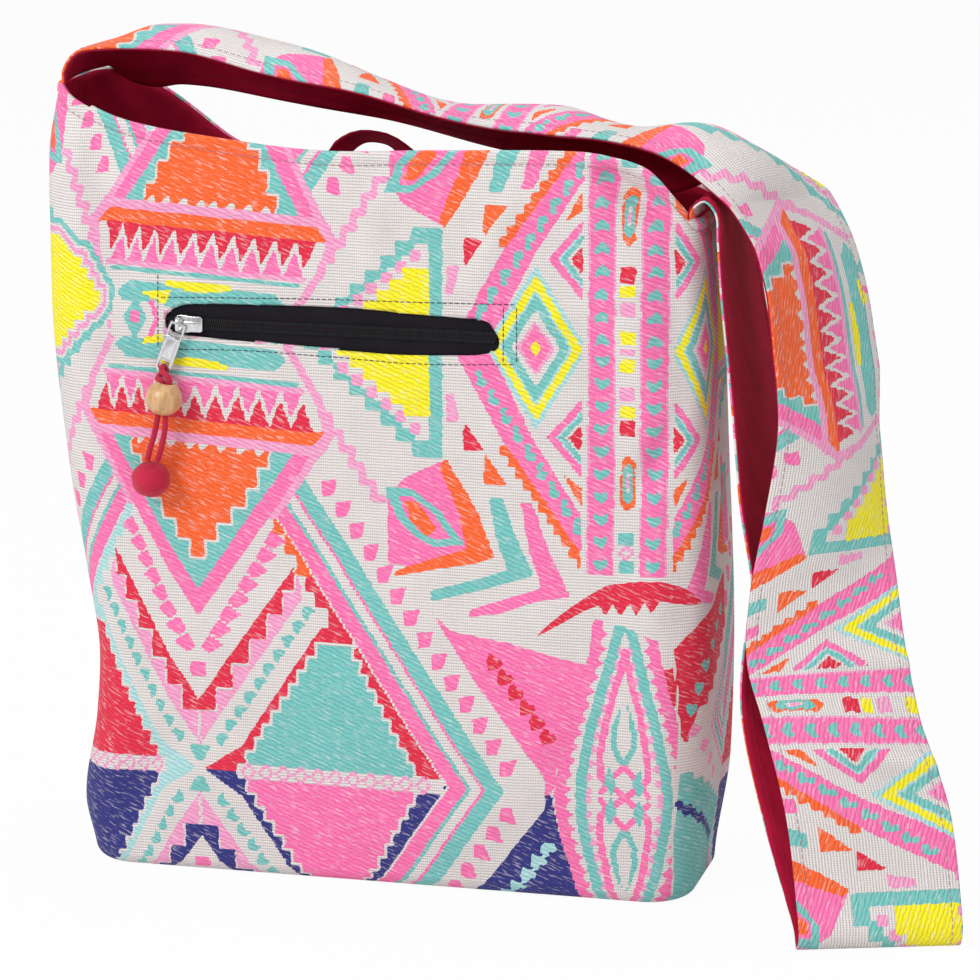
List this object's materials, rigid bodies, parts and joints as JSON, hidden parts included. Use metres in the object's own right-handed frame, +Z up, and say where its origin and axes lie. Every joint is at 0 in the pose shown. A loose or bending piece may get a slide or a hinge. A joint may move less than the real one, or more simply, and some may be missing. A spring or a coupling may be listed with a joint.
{
  "type": "shoulder bag",
  "caption": "Soft open-topped cloth shoulder bag with a wide strap, a red lining and a zipped front pocket whose pull carries a wooden bead and a knot.",
  "frame": {"origin": "on the flat base, below the middle of the front face's width and near the middle of the depth", "axes": "+X to the right along the front panel, -Y towards the viewer of the front, +Z up"},
  "size_m": [0.4643, 0.1561, 0.4119],
  "materials": {
    "woven_cloth": "thick cotton cloth woven in a bright geometric pattern",
    "lining_cloth": "plain deep red lining cloth",
    "zip_tape": "black woven tape",
    "zip_coil": "black nylon coil",
    "polished_steel": "bright plated metal",
    "red_cord": "soft crimson cord",
    "wood": "light waxed wood"
  },
  "bodies": {
    "bag": {"front_panel": "woven_cloth", "back_panel": "woven_cloth", "front_lining": "lining_cloth", "back_lining": "lining_cloth", "strap_cloth": "woven_cloth", "strap_lining": "lining_cloth", "hem_loop": "lining_cloth", "pocket_bag": "lining_cloth", "zip_tape_upper": "zip_tape", "zip_tape_lower": "zip_tape", "zip_coil_upper": "zip_coil", "zip_coil_lower": "zip_coil"},
    "slider": {"slider_body": "polished_steel"},
    "tab": {"pull_tab": "polished_steel"},
    "cord": {"pull_cord": "red_cord", "pull_knot": "red_cord"},
    "bead": {"pull_bead": "wood"}
  },
  "joints": [
    {"name": "slider_travel", "type": "slide", "parent": "bag", "child": "slider", "axis": [1, 0, 0], "range_m": [0, 0.144]},
    {"name": "tab_lift", "type": "hinge", "parent": "slider", "child": "tab", "pos_m": [-0.1035, -0.0512, 0.278], "axis": [-0.9336, 0, 0.3584], "range_deg": [0, 150]},
    {"name": "cord_swing", "type": "hinge", "parent": "tab", "child": "cord", "pos_m": [-0.1116, -0.0512, 0.2571], "axis": [0, 1, 0], "range_deg": [-40, 40]},
    {"name": "bead_slide", "type": "slide", "parent": "cord", "child": "bead", "axis": [-0.1766, 0, -0.9843], "range_m": [0, 0.01]}
  ]
}
